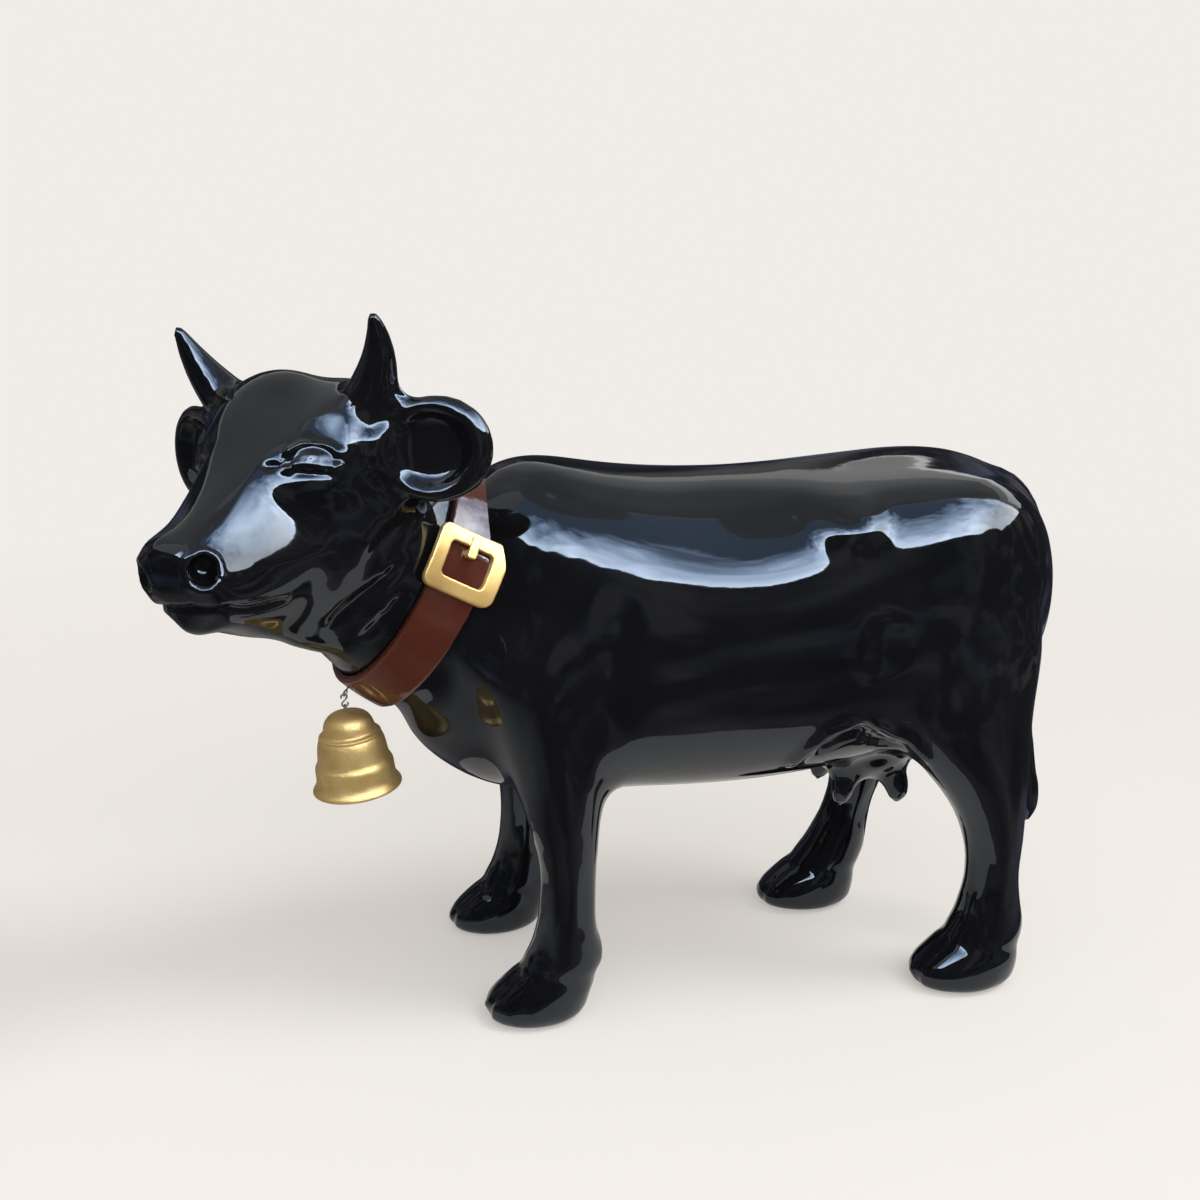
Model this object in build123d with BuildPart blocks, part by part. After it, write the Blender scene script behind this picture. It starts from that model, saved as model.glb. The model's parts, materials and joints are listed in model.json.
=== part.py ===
import math
import os

from build123d import *

# Driving dimensions, in millimetres and degrees. Stations on the animal are measured from the
# middle of its stance: x towards the tail, y towards its right side, z up from the floor.
stance_x = 29.6  # middle of the four hooves in the part's frame
stance_y = 15.7
shell_wall = 5.0  # thickness of the hollow castings
glue_gap = 0.15  # glue line left round every seam

# Trunk: distance along the body, height of the back, height of the belly, half width,
# fullness of the upper and of the lower corners (0.71 is an ellipse).
trunk_stations = [
    (-132, 150, 124, 8, 0.71, 0.71),
    (-127, 170, 113, 17, 0.71, 0.71),
    (-115, 201, 101, 29, 0.72, 0.71),
    (-90, 230.5, 89.5, 48, 0.73, 0.72),
    (-50, 229.5, 88, 60, 0.74, 0.72),
    (0, 225.5, 88, 63, 0.75, 0.72),
    (40, 226.5, 91, 63, 0.76, 0.72),
    (76, 228.5, 98, 61.5, 0.78, 0.72),
    (110, 229, 108, 56, 0.78, 0.72),
    (133, 221.5, 122, 44, 0.76, 0.72),
    (146.5, 206, 138, 30, 0.74, 0.72),
    (152.5, 189, 156, 12, 0.72, 0.72),
]

# Neck: centre, turn to the left, rise, half height, half width. The collar sits on the second one.
neck_stations = [
    ((-78, 0, 170), 8, 18, 56, 43),
    ((-125, -7.5, 184), 18, 30, 49, 37),
    ((-149, -19, 204), 32, 28, 43, 33),
    ((-169, -31, 222), 45, 15, 34, 28),
]
collar_station = 1
seam_ahead = -4.0  # where the head casting starts, counted forward from the collar's middle
spigot_wall = 3.0  # sleeve on the trunk that enters the head casting
spigot_reach = 9.0

# Head: its datum lies on the forehead between the eyes.
head_datum = (-177, -35, 250)
head_turn = 55
head_dip = 26
head_roll = 5.5
# Distance towards the nose, height of the top and of the underside over the datum, half width,
# fullness of the upper and of the lower corners.
head_stations = [
    (-37, -2, -34, 14, 0.75, 0.70),
    (-31, 7, -44, 32, 0.80, 0.70),
    (-14, 10, -56, 40, 0.82, 0.68),
    (6, 7, -63, 38, 0.82, 0.66),
    (26, 3, -69, 30, 0.79, 0.64),
    (44, 0, -66, 23.5, 0.76, 0.64),
    (58, -1, -55, 20, 0.75, 0.68),
    (69, -1, -41, 18.5, 0.76, 0.74),
    (74, -4, -33, 15, 0.76, 0.74),
    (76.5, -10, -25, 8, 0.74, 0.74),
]
# Horn and ear points are (towards the nose, out to the side, up) from the head's datum.
# Horn: point on its centre line and radius there.
horn_stations = [
    ((-19, 26, -10), 10.2),
    ((-20, 34, 0), 9.8),
    ((-22, 41, 10), 8.0),
    ((-23.5, 45.5, 20), 5.6),
    ((-24.5, 47.5, 29), 3.2),
    ((-25, 48, 34), 1.2),
]
horn_peg_radius = 4.0
horn_peg_length = 12.0
ear_root = (-9, 40, -14)
ear_tip = (-24.4, 78.5, -20.7)
ear_upper_edge = (-28.7, 61, -5.6)
ear_lower_edge = (-3, 58.3, -29.4)
# Ear: distance from its root, half width, half thickness.
ear_stations = [
    (-7, 8, 6),
    (2, 11.5, 7),
    (10, 16, 7.5),
    (20, 18.5, 7.5),
    (29, 17, 6.5),
    (36, 12.5, 5),
    (41, 6.5, 3),
    (43, 2.5, 1.5),
]
ear_rim = 3.2  # thickness left round the hollow of the ear
ear_cup_shift = 4.5  # how far the hollow stands towards the open side
ear_peg_radius = 3.0
ear_peg_start = 3.0  # distance from the ear's root, inside the ear
ear_peg_length = 15.0

# Legs: height, front edge, rear edge, half width, distance of the middle from the body's centre plane.
front_leg_stations = [
    (0, -103, -58, 17.5, 42),
    (6, -104, -57, 18.5, 42),
    (14, -97, -55, 17.5, 42),
    (23, -87, -51, 16, 42),
    (34, -81.5, -52.5, 14, 42),
    (50, -78.6, -53.5, 12.8, 42),
    (72, -79, -52.5, 14, 41.5),
    (95, -85.5, -50.5, 17, 41),
    (115, -91, -49, 20, 40),
    (140, -99, -47, 23, 38.5),
    (165, -99, -46, 22, 37),
    (190, -92, -52, 16, 33),
]
rear_leg_stations = [
    (0, 86, 135, 18, 43),
    (7, 85, 135.5, 19, 43),
    (14, 92, 136, 18, 43),
    (22, 101, 136.5, 16.5, 43),
    (31, 106, 136.5, 15, 43),
    (47, 109, 134, 13.5, 43),
    (62, 109, 134, 14.5, 43),
    (77, 104.5, 134.4, 16, 42.5),
    (91, 95.5, 135, 18, 42),
    (105, 84, 135.5, 21, 40.5),
    (134, 75, 136.5, 25, 38),
    (165, 74, 136.5, 25, 35),
    (195, 85, 134, 17, 30),
]
leg_bend_height = 18  # the pastern, below which a leg that steps forward keeps its shape
right_front_step = -10
right_rear_step = -46.5
front_step_height = 400
rear_step_height = 180
cleft_width = 2.6  # notch between the two claws of a hoof
cleft_depth = 15.0
cleft_height = 16.0
leg_peg_radius = 7.0
leg_peg_length = 32.0
front_peg = (-72, 38, 94)
rear_peg = (106, 36, 110)

# Tail: point on its centre line (along, up) and radius there.
tail_stations = [
    ((124, 217), 7),
    ((135, 214), 8),
    ((144, 204), 7.6),
    ((149.7, 189), 6.8),
    ((152.8, 169), 6.2),
    ((153.4, 142), 5.7),
    ((152.6, 122), 5.5),
    ((152.4, 105), 5.6),
    ((153.6, 90), 6.0),
    ((155.6, 76), 6.6),
    ((157, 64), 6.6),
    ((156.6, 56), 4.6),
    ((156.2, 52.5), 1.6),
]
tail_peg_radius = 3.0
tail_peg = (130, 203)
tail_peg_length = 20.0

# Udder: height, half length, half width.
udder_middle = 72
udder_stations = [
    (78, 9, 9),
    (80, 17, 17),
    (86, 24, 24),
    (95, 28, 28),
    (106, 30, 30),
    (116, 30, 30),
]
udder_peg_radius = 6.0
udder_peg_height = 92.0
udder_peg_length = 24.0
teat_front = 61
teat_rear = 87
teat_side = 16
teat_radius = 5.2
teat_tip_radius = 4.4
teat_top = 92
teat_low = 74.5

# Collar strap and its buckle.
strap_width = 20.5
strap_thickness = 3.6
buckle_angle = 17  # place on the left side, counted up from the widest point of the neck
buckle_across = 29.5
buckle_along = 26.5
buckle_corner = 4.0
window_across = 18.0
window_along = 14.5
window_corner = 2.0
buckle_thickness = 3.0
prong_width = 4.6
prong_thickness = 1.8
prong_reach = 4.6  # how far the prong enters the window

# Bell, its wire hardware and its clapper. Bell profile: depth under the crown, outer radius.
eye_ahead = 4.4  # how far in front of the collar's middle the eye stands
bell_hang = 6  # tilt of the hanging bell, mouth towards the chest
wire_radius = 0.375
wire_clearance = 0.1
eye_radius = 1.3  # wire centre line of the eye in the collar
hook_radius = 1.25  # wire centre line of the hook's two bends
hook_pitch = 3.2  # distance between the bends' centres
hook_open = 20  # how far each bend's free end passes its side
stem_radius = 1.2  # wire centre line of the rings on the bell's stem
bell_profile = [
    (0.0, 3.0),
    (0.9, 6.6),
    (2.8, 9.0),
    (5.5, 10.3),
    (8.6, 10.9),
    (10.2, 12.0),
    (12.4, 13.7),
    (16.0, 14.5),
    (19.4, 14.9),
    (21.4, 15.9),
    (24.0, 16.7),
    (27.6, 16.6),
    (30.4, 17.2),
    (32.6, 18.5),
    (33.8, 18.6),
]
bell_wall = 1.3
crown_gap = 0.1
cast_gap = 0.03  # shrinkage round the wire inside the cast ball
clapper_ball_radius = 4.0
clapper_below_rim = 7.6  # how far the ball hangs out of the mouth


def spot(x, y, z):
    """A station on the animal as a point of the part's frame."""
    return Vector(stance_x + x, stance_y + y, z)


def facing(point, turn, rise, roll=0):
    """A plane that looks forward from a point, turned to the animal's left and tilted up."""
    a, b = math.radians(turn), math.radians(rise)
    ahead = Vector(-math.cos(a) * math.cos(b), -math.sin(a) * math.cos(b), math.sin(b))
    left = Vector(math.sin(a), -math.cos(a), 0)
    rolled = left * math.cos(math.radians(roll)) + ahead.cross(left) * math.sin(math.radians(roll))
    return Plane(point, x_dir=rolled, z_dir=ahead)


def ellipse_loft(sections):
    """A smooth skin through ellipses, each given as its plane and its two half sizes."""
    with BuildPart() as form:
        for plane, half_x, half_y in sections:
            with BuildSketch(plane):
                Ellipse(half_x, half_y)
        loft()
    return form.part


def round_loft(points, radii):
    """A smooth skin through circles set square to the line through the points."""
    with BuildPart() as form:
        last = len(points) - 1
        for i, (point, radius) in enumerate(zip(points, radii)):
            along = points[min(i + 1, last)] - points[max(i - 1, 0)]
            with BuildSketch(Plane(point, x_dir=along.cross(Vector(1, 0.2, 0.1)), z_dir=along)):
                Circle(radius)
        loft()
    return form.part


def cylinder_along(start, direction, radius, length):
    with BuildPart() as form:
        with BuildSketch(Plane(start, z_dir=direction)):
            Circle(radius)
        extrude(amount=length)
    return form.part


def largest(part):
    """The biggest piece of a form that a cut has left in several."""
    return part.solids().sort_by(SortBy.VOLUME)[-1]


def full_loft(sections):
    """A smooth skin through rounded sections, each given as its plane, half sizes and fullness."""
    with BuildPart() as form:
        for plane, half_x, half_y, upper, lower in sections:
            with BuildSketch(plane):
                with BuildLine():
                    Spline(
                        (0, half_y),
                        (-upper * half_x, upper * half_y),
                        (-half_x, 0),
                        (-lower * half_x, -lower * half_y),
                        (0, -half_y),
                        (lower * half_x, -lower * half_y),
                        (half_x, 0),
                        (upper * half_x, upper * half_y),
                        periodic=True,
                    )
                make_face()
        loft()
    return form.part


def trunk_form(grow):
    sections = []
    for x, top, low, wide, upper, lower in trunk_stations:
        plane = facing(spot(x, 0, (top + low) / 2), 0, 0)
        sections.append((plane, wide + grow, (top - low) / 2 + grow, upper, lower))
    return full_loft(sections)


def neck_form(grow):
    sections = []
    for centre, turn, rise, high, wide in neck_stations:
        sections.append((facing(spot(*centre), turn, rise), wide + grow, high + grow))
    return ellipse_loft(sections)


head_plane = facing(spot(*head_datum), head_turn, -head_dip, head_roll)


def head_spot(ahead, side, up):
    """A point on the head as a point of the part's frame; side is positive to the left."""
    return head_plane.from_local_coords(Vector(side, up, ahead))


def head_form(grow):
    sections = []
    for x, top, low, wide, upper, lower in head_stations:
        plane = Plane(head_spot(x, 0, (top + low) / 2), x_dir=head_plane.x_dir, z_dir=head_plane.z_dir)
        sections.append((plane, wide + grow, (top - low) / 2 + grow, upper, lower))
    return full_loft(sections)


def leg_form(stations, side, step, step_height, grow):
    sections = []
    for z, front, rear, wide, out in stations:
        share = (step_height - z) / (step_height - leg_bend_height)
        shift = step * min(1, max(0, share))
        centre = spot((front + rear) / 2 + shift, side * out, z)
        sections.append((Plane(centre), (rear - front) / 2 + grow, wide + grow))
    return ellipse_loft(sections)


LEFT, RIGHT = -1, 1

# Grown and shrunk copies of the main forms, for cutting neighbours to their seams.
trunk_skin = trunk_form(0)
neck_skin = neck_form(0)
head_skin = head_form(0)
trunk_clear = trunk_form(glue_gap)
neck_clear = neck_form(glue_gap)
head_clear = head_form(glue_gap)
trunk_core = trunk_form(-shell_wall)
neck_core = neck_form(-shell_wall)
head_core = head_form(-shell_wall)

centre, turn, rise, collar_high, collar_wide = neck_stations[collar_station]
collar_plane = facing(spot(*centre), turn, rise)
seam_plane = collar_plane.offset(seam_ahead)
dorsal = collar_plane.y_dir
left_side = collar_plane.x_dir

# Pegs that carry the loose castings: where each starts and the way it points.
straight_up = Vector(0, 0, 1)
front_left_peg = spot(front_peg[0], LEFT * front_peg[1], front_peg[2])
front_right_peg = spot(front_peg[0], RIGHT * front_peg[1], front_peg[2])
rear_left_peg = spot(rear_peg[0], LEFT * rear_peg[1], rear_peg[2])
rear_right_peg = spot(rear_peg[0], RIGHT * rear_peg[1], rear_peg[2])
udder_peg = spot(udder_middle, 0, udder_peg_height)
tail_peg_start = spot(tail_peg[0], 0, tail_peg[1])
rearward = Vector(1, 0, 0)

# Hanging point of the bell: the eye's wire under the collar, and the planes of its hardware.
eye_middle = collar_plane.from_local_coords(
    Vector(0, -(collar_high + strap_thickness + eye_radius + wire_radius), eye_ahead)
)
hang_point = eye_middle - dorsal * eye_radius
back = left_side.cross(Vector(0, 0, 1)) * -1
tilt = math.radians(bell_hang)
bell_back = back * math.cos(tilt) + Vector(0, 0, math.sin(tilt))
bell_plane = Plane(hang_point, x_dir=bell_back, z_dir=left_side)
bell_up = bell_plane.y_dir
wire_step = 2 * wire_radius + wire_clearance  # centre distance of two linked wires
upper_bend = wire_step - hook_radius
lower_bend = upper_bend - hook_pitch
hook_low = lower_bend - hook_radius
stem_middle = hook_low + wire_step - stem_radius
crown = stem_middle - stem_radius - wire_radius - crown_gap
inner_middle = crown - bell_wall - crown_gap - wire_radius - stem_radius
inner_low = inner_middle - stem_radius
clapper_ring = inner_low + wire_step - stem_radius
bell_rim = crown - bell_profile[-1][0]
clapper_middle = bell_rim - clapper_below_rim + clapper_ball_radius


def bell_spot(y):
    """A point on the bell's axis, counted up from the hanging point."""
    return hang_point + bell_up * y


# Room that the strap takes out of the castings round the neck, and the drilled hole for the eye.
with BuildPart() as strap_room:
    add(neck_form(strap_thickness + glue_gap))
    split(bisect_by=collar_plane.offset(strap_width / 2 + glue_gap), keep=Keep.BOTTOM)
    split(bisect_by=collar_plane.offset(-strap_width / 2 - glue_gap), keep=Keep.TOP)
    add(neck_skin, mode=Mode.SUBTRACT)
eye_hole = cylinder_along(
    eye_middle,
    dorsal,
    wire_radius + wire_clearance,
    eye_radius + wire_radius + strap_thickness + shell_wall,
)


# Place of the buckle on the strap, and the room that it takes out of the shoulder.
angle = math.radians(buckle_angle)
buckle_middle = collar_plane.from_local_coords(
    Vector(collar_wide * math.cos(angle), collar_high * math.sin(angle), 0)
)
buckle_out = left_side * (math.cos(angle) / collar_wide) + dorsal * (math.sin(angle) / collar_high)
buckle_plane = Plane(buckle_middle, x_dir=collar_plane.z_dir * -1, z_dir=buckle_out)
buckle_seat = strap_thickness + glue_gap
prong_seat = buckle_seat + buckle_thickness + glue_gap
bar_middle = (buckle_along + window_along) / 4
with BuildPart() as buckle_room:
    with BuildSketch(buckle_plane):
        RectangleRounded(buckle_across + 2 * glue_gap, buckle_along + 2 * glue_gap, buckle_corner)
    extrude(amount=buckle_across / 2)
    add(neck_form(buckle_seat - glue_gap), mode=Mode.SUBTRACT)


def save(part, name):
    part.label = name
    export_step(part, "parts/" + name + ".step")
    print(name, len(part.solids()), part.is_valid, round(part.volume, 1))


os.makedirs("parts", exist_ok=True)

# Hollow trunk with the rear of the neck, its sleeve for the head and the sockets of the pegs.
with BuildPart() as sleeve:
    add(neck_form(1 - shell_wall))
    split(bisect_by=seam_plane, keep=Keep.BOTTOM)
    split(bisect_by=seam_plane.offset(-spigot_reach), keep=Keep.TOP)
with BuildPart() as spigot:
    add(neck_form(-shell_wall - glue_gap))
    split(bisect_by=seam_plane.offset(spigot_reach), keep=Keep.BOTTOM)
    split(bisect_by=seam_plane.offset(-spigot_reach), keep=Keep.TOP)
    add(sleeve.part)
    add(neck_form(-shell_wall - spigot_wall), mode=Mode.SUBTRACT)
with BuildPart() as trunk:
    add(neck_skin)
    split(bisect_by=seam_plane, keep=Keep.BOTTOM)
    add(trunk_skin)
    add(strap_room.part, mode=Mode.SUBTRACT)
    add(buckle_room.part, mode=Mode.SUBTRACT)
    add(trunk_core, mode=Mode.SUBTRACT)
    add(neck_core, mode=Mode.SUBTRACT)
    add(spigot.part)
    for start in (front_left_peg, front_right_peg, rear_left_peg, rear_right_peg):
        add(
            cylinder_along(start, straight_up, leg_peg_radius + glue_gap, leg_peg_length),
            mode=Mode.SUBTRACT,
        )
    add(
        cylinder_along(udder_peg, straight_up, udder_peg_radius + glue_gap, udder_peg_length),
        mode=Mode.SUBTRACT,
    )
    add(
        cylinder_along(tail_peg_start, rearward, tail_peg_radius + glue_gap, tail_peg_length),
        mode=Mode.SUBTRACT,
    )

# The trunk is cast in two halves that meet on the animal's middle plane.
keel = Plane(spot(0, 0, 0), x_dir=(1, 0, 0), z_dir=(0, 1, 0))
with BuildPart() as trunk_left_shell:
    add(trunk.part)
    split(bisect_by=keel.offset(-glue_gap / 2), keep=Keep.BOTTOM)
with BuildPart() as trunk_right_shell:
    add(trunk.part)
    split(bisect_by=keel.offset(glue_gap / 2), keep=Keep.TOP)

# Hollow head with the front of the neck and sockets for horns and ears.
horn_points_left = [head_spot(*point) for point, radius in horn_stations]
horn_points_right = [head_spot(ahead, -side, up) for (ahead, side, up), radius in horn_stations]
horn_radii = [radius for point, radius in horn_stations]
horn_peg_left = (horn_points_left[0] - horn_points_left[1]).normalized()
horn_peg_right = (horn_points_right[0] - horn_points_right[1]).normalized()


def ear_planes(side):
    """Root point, lengthwise direction, widthwise direction and open side of an ear."""
    root = head_spot(ear_root[0], side * ear_root[1], ear_root[2])
    tip = head_spot(ear_tip[0], side * ear_tip[1], ear_tip[2])
    upper = head_spot(ear_upper_edge[0], side * ear_upper_edge[1], ear_upper_edge[2])
    lower = head_spot(ear_lower_edge[0], side * ear_lower_edge[1], ear_lower_edge[2])
    along = (tip - root).normalized()
    across = upper - lower
    across = (across - along * across.dot(along)).normalized()
    return root, along, across, along.cross(across) * side


def ear_form(side, rim, shift):
    root, along, across, opening = ear_planes(side)
    sections = []
    for distance, half_wide, half_thick in ear_stations:
        if distance < 0 and rim > 0:
            continue
        plane = Plane(root + along * distance + opening * shift, x_dir=across, z_dir=along)
        sections.append((plane, max(half_wide - rim, 0.4), max(half_thick - rim / 4, 0.3)))
    return ellipse_loft(sections)


with BuildPart() as head_shell:
    add(neck_skin)
    split(bisect_by=seam_plane.offset(glue_gap), keep=Keep.TOP)
    add(head_skin)
    add(head_core, mode=Mode.SUBTRACT)
    add(neck_core, mode=Mode.SUBTRACT)
    add(trunk_clear, mode=Mode.SUBTRACT)
    add(eye_hole, mode=Mode.SUBTRACT)
    for points, inward in ((horn_points_left, horn_peg_left), (horn_points_right, horn_peg_right)):
        add(
            cylinder_along(points[1], inward, horn_peg_radius + glue_gap, horn_peg_length + glue_gap),
            mode=Mode.SUBTRACT,
        )
    for side in (1, -1):
        root, along, across, opening = ear_planes(side)
        socket = root + along * ear_peg_start
        add(
            cylinder_along(socket, along * -1, ear_peg_radius + glue_gap, ear_peg_length + glue_gap),
            mode=Mode.SUBTRACT,
        )

# Horns and ears are loose castings glued on pegs.
with BuildPart() as left_horn:
    add(round_loft(horn_points_left, horn_radii))
    add(head_clear, mode=Mode.SUBTRACT)
    add(cylinder_along(horn_points_left[1], horn_peg_left, horn_peg_radius, horn_peg_length))
with BuildPart() as right_horn:
    add(round_loft(horn_points_right, horn_radii))
    add(head_clear, mode=Mode.SUBTRACT)
    add(cylinder_along(horn_points_right[1], horn_peg_right, horn_peg_radius, horn_peg_length))
left_root, left_along, left_across, left_opening = ear_planes(1)
horn_clear_radii = [radius + glue_gap for radius in horn_radii]
with BuildPart() as left_ear:
    add(ear_form(1, 0, 0))
    add(ear_form(1, ear_rim, ear_cup_shift), mode=Mode.SUBTRACT)
    add(round_loft(horn_points_left, horn_clear_radii), mode=Mode.SUBTRACT)
    add(head_clear, mode=Mode.SUBTRACT)
    left_peg = left_root + left_along * ear_peg_start
    add(cylinder_along(left_peg, left_along * -1, ear_peg_radius, ear_peg_length))
right_root, right_along, right_across, right_opening = ear_planes(-1)
with BuildPart() as right_ear:
    add(ear_form(-1, 0, 0))
    add(ear_form(-1, ear_rim, ear_cup_shift), mode=Mode.SUBTRACT)
    add(round_loft(horn_points_right, horn_clear_radii), mode=Mode.SUBTRACT)
    add(head_clear, mode=Mode.SUBTRACT)
    right_peg = right_root + right_along * ear_peg_start
    add(cylinder_along(right_peg, right_along * -1, ear_peg_radius, ear_peg_length))

for part, name in (
    (trunk_left_shell.part, "trunk_left_shell"),
    (trunk_right_shell.part, "trunk_right_shell"),
    (head_shell.part, "head_shell"),
    (left_horn.part, "left_horn"),
    (right_horn.part, "right_horn"),
    (left_ear.part, "left_ear"),
    (right_ear.part, "right_ear"),
):
    save(part, name)


# Legs are solid castings with a flat sole and a notch between the claws.
def leg_solid(stations, side, step, step_height, peg):
    toe = stations[1][1] + step
    middle = spot(toe, side * stations[0][4], 0)
    with BuildPart() as form:
        add(leg_form(stations, side, step, step_height, 0))
        add(trunk_clear, mode=Mode.SUBTRACT)
        add(neck_clear, mode=Mode.SUBTRACT)
        add(strap_room.part, mode=Mode.SUBTRACT)
        with BuildSketch(Plane.XY):
            with BuildLine():
                Polyline(
                    (middle.X - 2, middle.Y - cleft_width / 2),
                    (middle.X + cleft_depth, middle.Y),
                    (middle.X - 2, middle.Y + cleft_width / 2),
                    close=True,
                )
            make_face()
        extrude(amount=cleft_height, mode=Mode.SUBTRACT)
    with BuildPart() as cut:
        add(largest(form.part))
        add(cylinder_along(peg, straight_up, leg_peg_radius, leg_peg_length))
    return cut.part


front_left_leg = leg_solid(front_leg_stations, LEFT, 0, front_step_height, front_left_peg)
front_right_leg = leg_solid(front_leg_stations, RIGHT, right_front_step, front_step_height, front_right_peg)
rear_left_leg = leg_solid(rear_leg_stations, LEFT, 0, rear_step_height, rear_left_peg)
rear_right_leg = leg_solid(rear_leg_stations, RIGHT, right_rear_step, rear_step_height, rear_right_peg)
save(front_left_leg, "front_left_leg")
save(front_right_leg, "front_right_leg")
save(rear_left_leg, "rear_left_leg")
save(rear_right_leg, "rear_right_leg")

# Tail, cast on its own and pegged into the rump.
tail_points = [spot(x, 0, z) for (x, z), radius in tail_stations]
tail_radii = [radius for point, radius in tail_stations]
with BuildPart() as tail_cut:
    add(round_loft(tail_points, tail_radii))
    add(trunk_clear, mode=Mode.SUBTRACT)
with BuildPart() as tail:
    add(largest(tail_cut.part))
    add(cylinder_along(tail_peg_start, rearward, tail_peg_radius, tail_peg_length))
save(tail.part, "tail")

# Udder with its four teats, cut to the belly and to the thighs.
with BuildPart() as udder_cut:
    add(ellipse_loft([(Plane(spot(udder_middle, 0, z)), long, wide) for z, long, wide in udder_stations]))
    for x in (teat_front, teat_rear):
        for y in (-teat_side, teat_side):
            low_end = spot(x, y, teat_low + teat_tip_radius)
            with BuildSketch(Plane(low_end)):
                Circle(teat_tip_radius)
            with BuildSketch(Plane(spot(x, y, teat_top))):
                Circle(teat_radius)
            loft()
            with Locations(low_end):
                Sphere(teat_tip_radius)
    add(trunk_clear, mode=Mode.SUBTRACT)
    add(leg_form(rear_leg_stations, LEFT, 0, rear_step_height, glue_gap), mode=Mode.SUBTRACT)
    add(leg_form(rear_leg_stations, RIGHT, right_rear_step, rear_step_height, glue_gap), mode=Mode.SUBTRACT)
with BuildPart() as udder:
    add(largest(udder_cut.part))
    add(cylinder_along(udder_peg, straight_up, udder_peg_radius, udder_peg_length))
save(udder.part, "udder")

# Collar strap round the neck, with the hole for the bell's eye.
with BuildPart() as collar_strap:
    add(neck_form(strap_thickness))
    split(bisect_by=collar_plane.offset(strap_width / 2), keep=Keep.BOTTOM)
    split(bisect_by=collar_plane.offset(-strap_width / 2), keep=Keep.TOP)
    add(neck_clear, mode=Mode.SUBTRACT)
    add(eye_hole, mode=Mode.SUBTRACT)
save(collar_strap.part, "collar_strap")

# Buckle frame and prong, bent to the strap.
with BuildPart() as buckle_frame:
    with BuildSketch(buckle_plane):
        RectangleRounded(buckle_across, buckle_along, buckle_corner)
        RectangleRounded(window_across, window_along, window_corner, mode=Mode.SUBTRACT)
    extrude(amount=buckle_across / 2)
    add(neck_form(buckle_seat + buckle_thickness), mode=Mode.INTERSECT)
    add(neck_form(buckle_seat), mode=Mode.SUBTRACT)
save(buckle_frame.part, "buckle_frame")
with BuildPart() as prong_tip:
    with BuildSketch(buckle_plane):
        with Locations((0, window_along / 2 - glue_gap - prong_reach / 2)):
            RectangleRounded(prong_width, prong_reach, prong_width / 4)
    extrude(amount=buckle_across / 2)
    add(neck_form(buckle_seat), mode=Mode.SUBTRACT)
with BuildPart() as buckle_prong:
    with BuildSketch(buckle_plane):
        with Locations((0, bar_middle)):
            Rectangle(prong_width, (buckle_along - window_along) / 2)
        with Locations((0, window_along / 2 - prong_reach / 4)):
            Rectangle(prong_width, prong_reach / 2)
    extrude(amount=buckle_across / 2)
    add(neck_form(prong_seat), mode=Mode.SUBTRACT)
    add(prong_tip.part)
    add(neck_form(prong_seat + prong_thickness), mode=Mode.INTERSECT)
save(buckle_prong.part, "buckle_prong")

# Wire eye in the collar.
with BuildPart() as bell_eye:
    with Locations(Plane(eye_middle, x_dir=left_side, z_dir=collar_plane.z_dir)):
        Torus(eye_radius, wire_radius)
    shank_start = eye_middle + dorsal * eye_radius
    add(cylinder_along(shank_start, dorsal, wire_radius, strap_thickness + shell_wall / 2))
save(bell_eye.part, "bell_eye")

# S hook bent from wire: each bend runs past its free side, and a straight stretch joins the two.
lean = math.degrees(math.asin(2 * hook_radius / hook_pitch))
bend_side = hook_radius * math.cos(math.radians(lean))
bend_drop = hook_radius * math.sin(math.radians(lean))
with BuildPart() as bell_hook:
    with BuildLine(bell_plane) as hook_line:
        CenterArc((0, upper_bend), hook_radius, 180 + hook_open, -180 - hook_open - lean)
        CenterArc((0, lower_bend), hook_radius, 180 - lean, 180 + hook_open + lean)
        Line((bend_side, upper_bend - bend_drop), (-bend_side, lower_bend + bend_drop))
    free_end = hook_line.wires()[0] @ 0
    end_way = hook_line.wires()[0] % 0
    with BuildSketch(Plane(free_end, z_dir=end_way)):
        Circle(wire_radius)
    sweep(path=hook_line.wires()[0])
save(bell_hook.part, "bell_hook")

# Bell shell, turned from one profile.
with BuildPart() as bell_shell:
    with BuildSketch(bell_plane):
        with BuildLine():
            outer = Spline([(0, crown)] + [(radius, crown - depth) for depth, radius in bell_profile])
            lip = Line(outer @ 1, (bell_profile[-1][1] - bell_wall, bell_rim))
            inner_points = []
            for depth, radius in bell_profile[-2:0:-2]:
                drop = bell_wall * (1 - depth / bell_profile[-1][0])
                inner_points.append((radius - bell_wall, crown - depth - drop))
            inner = Spline([lip @ 1] + inner_points + [(0, crown - bell_wall)])
            Line(inner @ 1, outer @ 0)
        make_face()
    revolve(axis=Axis(bell_spot(crown), bell_up))
    add(
        cylinder_along(bell_spot(crown - 3 * bell_wall), bell_up, wire_radius + crown_gap, 6 * bell_wall),
        mode=Mode.SUBTRACT,
    )
save(bell_shell.part, "bell_shell")

# Stem through the crown, a ring at each end.
with BuildPart() as bell_stem:
    with Locations(Plane(bell_spot(stem_middle), x_dir=left_side, z_dir=bell_back)):
        Torus(stem_radius, wire_radius)
    with Locations(Plane(bell_spot(inner_middle), x_dir=left_side, z_dir=bell_back)):
        Torus(stem_radius, wire_radius)
    stem_low = inner_middle + stem_radius
    add(cylinder_along(bell_spot(stem_low), bell_up, wire_radius, stem_middle - stem_radius - stem_low))
save(bell_stem.part, "bell_stem")

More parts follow.
